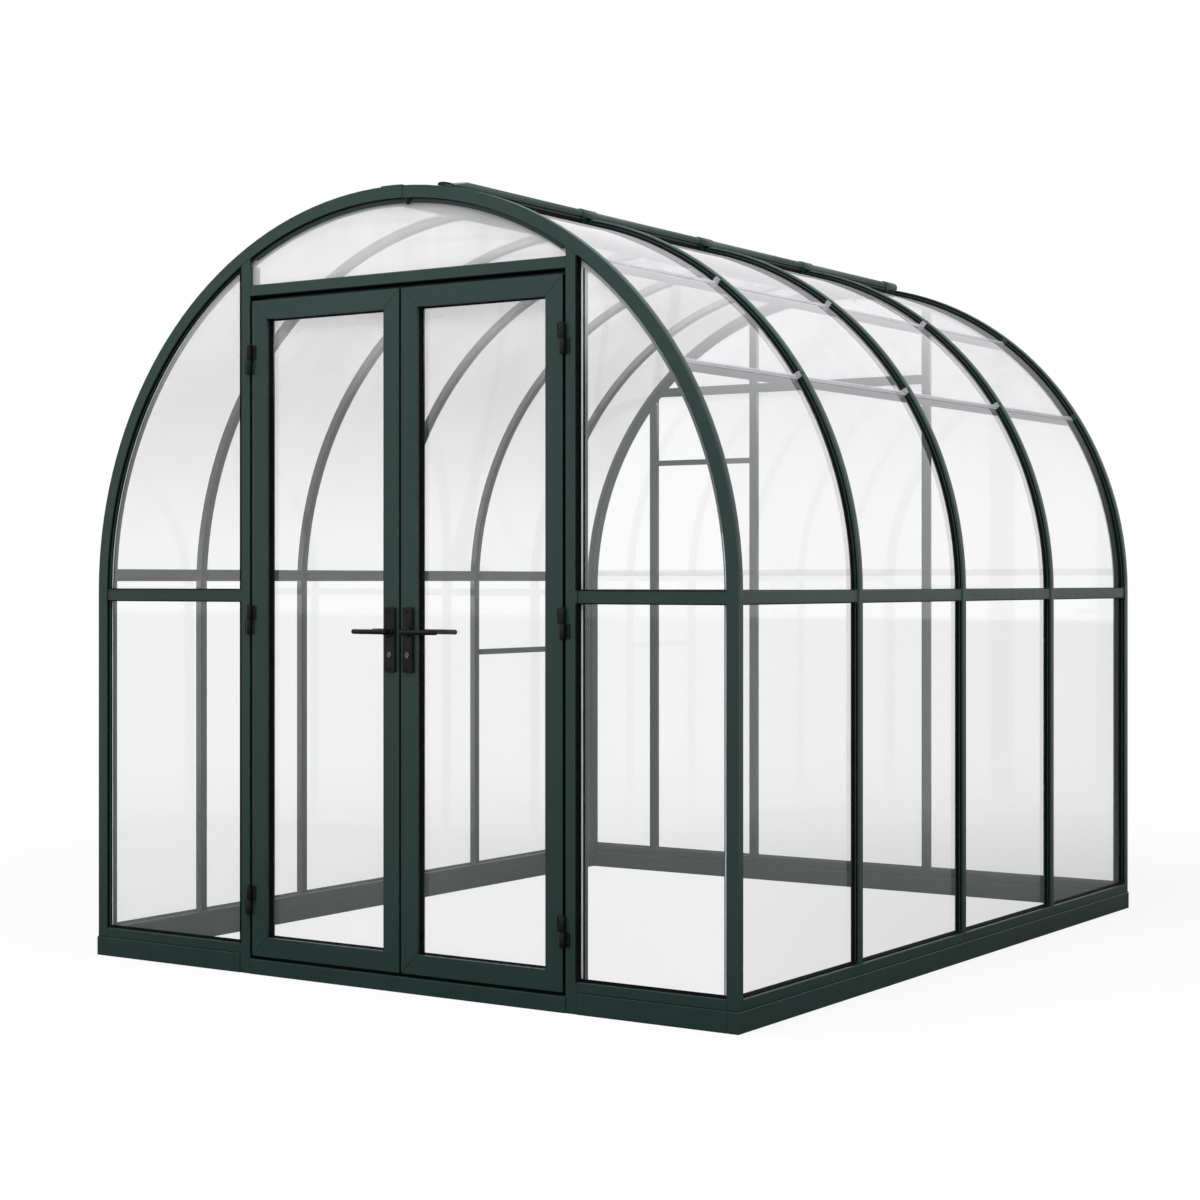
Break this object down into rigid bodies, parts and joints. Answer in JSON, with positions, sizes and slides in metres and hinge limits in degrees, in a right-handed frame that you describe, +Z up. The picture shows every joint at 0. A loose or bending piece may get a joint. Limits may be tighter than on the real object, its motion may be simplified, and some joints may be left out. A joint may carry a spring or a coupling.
{
  "type": "polycarbonate greenhouse",
  "caption": "Walk-in garden greenhouse with a barrel roof of clear polycarbonate on a dark green metal frame, entered by a pair of glazed doors that swing outward.",
  "frame": {"origin": "middle of the footprint at ground level", "axes": "+Z up, +Y from the doors to the back wall, +X to the right when facing the doors"},
  "size_m": [2.44, 2.9695, 2.4222],
  "materials": {
    "frame": "satin dark grey-green powder coat on aluminium",
    "sheet": "clear polycarbonate sheet with a slight haze",
    "furniture": "satin black"
  },
  "bodies": {
    "house": {"base_front": "frame", "base_left": "frame", "base_right": "frame", "base_back": "frame", "base_corners": "frame", "door_threshold": "frame", "sill_rails": "frame", "front_arch_left": "frame", "front_arch_right": "frame", "back_arch_left": "frame", "back_arch_right": "frame", "apex_splices": "frame", "door_posts": "frame", "door_header": "frame", "front_rails": "frame", "left_rail": "frame", "right_rail": "frame", "back_rails": "frame", "right_ribs": "frame", "left_ribs": "frame", "right_purlins": "frame", "left_low_bar": "frame", "ridge_beam": "frame", "ridge_bar": "frame", "back_posts": "frame", "back_tie_bar": "frame", "back_short_bar": "frame", "front_panes": "sheet", "fanlight_pane": "sheet", "back_panes": "sheet", "left_wall_panes": "sheet", "right_wall_panes": "sheet", "left_roof_panes": "sheet", "right_roof_panes": "sheet", "frame_hinges": "furniture"},
    "left_door": {"door_leaf_left": "frame", "door_pane_left": "sheet", "leaf_hinges_left": "furniture", "handle_plates_left": "furniture"},
    "right_door": {"door_leaf_right": "frame", "door_pane_right": "sheet", "leaf_hinges_right": "furniture", "handle_plates_right": "furniture"},
    "left_lever": {"lever_left": "furniture"},
    "right_lever": {"lever_right": "furniture"}
  },
  "joints": [
    {"name": "left_door_swing", "type": "hinge", "parent": "house", "child": "left_door", "pos_m": [-0.547, -1.466, 1.11], "axis": [0, 0, -1], "range_deg": [0, 100]},
    {"name": "right_door_swing", "type": "hinge", "parent": "house", "child": "right_door", "pos_m": [0.643, -1.466, 1.11], "axis": [0, 0, 1], "range_deg": [0, 100]},
    {"name": "left_lever_turn", "type": "hinge", "parent": "left_door", "child": "left_lever", "pos_m": [0.014, -1.438, 1.079], "axis": [0, -1, 0], "range_deg": [0, 40], "stiffness_Nm_per_rad": 0.5, "springref_deg": -34.38},
    {"name": "right_lever_turn", "type": "hinge", "parent": "right_door", "child": "right_lever", "pos_m": [0.082, -1.438, 1.079], "axis": [0, 1, 0], "range_deg": [0, 40], "stiffness_Nm_per_rad": 0.5, "springref_deg": -34.38}
  ]
}
